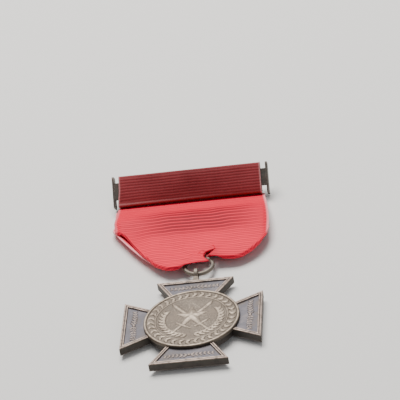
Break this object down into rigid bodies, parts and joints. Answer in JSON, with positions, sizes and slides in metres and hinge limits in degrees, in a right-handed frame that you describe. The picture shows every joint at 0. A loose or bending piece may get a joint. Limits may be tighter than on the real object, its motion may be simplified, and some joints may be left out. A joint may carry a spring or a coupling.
{
  "type": "service medal",
  "caption": "Bronze cross with a round centre disc, hung by a loop and wire ring from a folded red ribbon on a wrap brooch with a hinged pin and a locking catch.",
  "frame": {"origin": "middle of the cross's back disc, on the surface that the medal lies on", "axes": "+X across the cross to the right as seen from its front, +Y from the cross up to the brooch, +Z out of the cross's front"},
  "size_m": [0.0386, 0.0769, 0.0078],
  "materials": {
    "bronze": "antique bronze, brown patina with worn edges",
    "ring_wire": "dull drawn bronze wire",
    "brooch_metal": "dark tarnished sheet brass",
    "pin_steel": "plated wire, slightly dull",
    "ribbon": "ribbed silk moire, faded red",
    "thread": "twisted cotton thread"
  },
  "bodies": {
    "brooch": {"brooch_frame": "brooch_metal", "rear_bar": "brooch_metal", "hinge_bracket": "brooch_metal", "hinge_rivet": "pin_steel", "catch_barrel": "brooch_metal", "ribbon_wrap": "ribbon", "ribbon_tail": "ribbon", "wrap_stitches": "thread"},
    "pin": {"pin_stem": "pin_steel"},
    "roller": {"catch_roller": "brooch_metal"},
    "ribbon": {"ribbon_front": "ribbon", "ribbon_rear": "ribbon", "ribbon_fold": "ribbon"},
    "ring": {"jump_ring": "ring_wire"},
    "cross": {"cross": "bronze", "obverse_disc": "bronze", "reverse_disc": "bronze", "suspension_eyelet": "bronze"}
  },
  "joints": [
    {"name": "ribbon_swing", "type": "hinge", "parent": "brooch", "child": "ribbon", "pos_m": [-0.0028, 0.05218, 0.00106], "axis": [1, 0, 0], "range_deg": [-60, 75]},
    {"name": "ring_swing", "type": "hinge", "parent": "ribbon", "child": "ring", "pos_m": [0.0004, 0.02628, 0.0015], "axis": [1, 0, 0], "range_deg": [-50, 50]},
    {"name": "cross_swing", "type": "hinge", "parent": "ring", "child": "cross", "pos_m": [0, 0.01968, 0.0015], "axis": [1, 0, 0], "range_deg": [-75, 75]},
    {"name": "pin_swing", "type": "hinge", "parent": "brooch", "child": "pin", "pos_m": [-0.0173, 0.05838, 0.0017], "axis": [0, 0.6825, 0.7309], "range_deg": [0, 110]},
    {"name": "catch_turn", "type": "hinge", "parent": "brooch", "child": "roller", "pos_m": [0.0097, 0.05838, 0.0017], "axis": [-1, 0, 0], "range_deg": [0, 100]}
  ]
}
